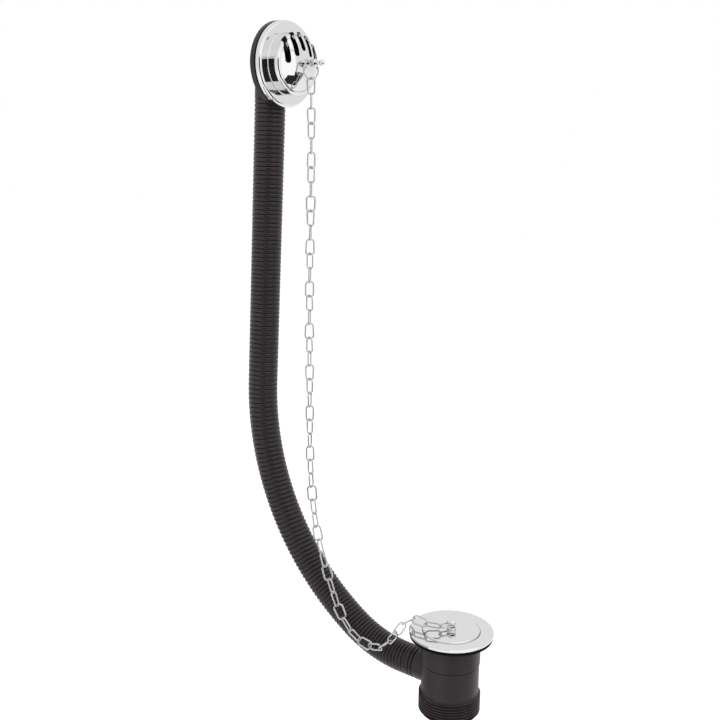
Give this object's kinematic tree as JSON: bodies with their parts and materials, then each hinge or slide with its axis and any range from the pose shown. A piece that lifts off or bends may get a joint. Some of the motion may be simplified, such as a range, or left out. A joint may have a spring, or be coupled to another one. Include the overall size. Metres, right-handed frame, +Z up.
{
  "type": "bath waste and overflow",
  "caption": "Bath waste and overflow: plated drain flange with a plug on a link chain, dark body with a threaded tail, and a corrugated hose up to a slotted domed overflow cover.",
  "frame": {"origin": "on the waste's axis, at the face of the bath between the waste's two washers", "axes": "+Z up along the waste's axis; +X the way the overflow cover faces, with the overflow behind the waste at -X"},
  "size_m": [0.2401, 0.0652, 0.5226],
  "materials": {
    "chrome_plate": "bright chrome plate",
    "chain_wire": "bright plated wire",
    "black_rubber": "matt black rubber",
    "dark_plastic": "satin dark grey-brown moulding",
    "hose_plastic": "satin dark grey-brown corrugated plastic",
    "steel": "stainless steel",
    "brass": "plain brass"
  },
  "bodies": {
    "root": {"overflow_cover": "chrome_plate", "overflow_washer": "black_rubber", "overflow_elbow": "dark_plastic", "stay_insert": "brass", "chain_stay": "chrome_plate", "stay_ring": "chain_wire", "chain_links": "chain_wire", "plug_post": "chrome_plate", "plug_disc": "chrome_plate", "plug_seal": "black_rubber", "plug_nut": "steel", "waste_flange": "chrome_plate", "flange_screw": "steel", "body_insert": "brass", "upper_waste_washer": "black_rubber", "lower_waste_washer": "black_rubber", "waste_body": "dark_plastic", "overflow_hose": "hose_plastic", "upper_hose_seal": "black_rubber", "lower_hose_seal": "black_rubber"}
  },
  "joints": []
}
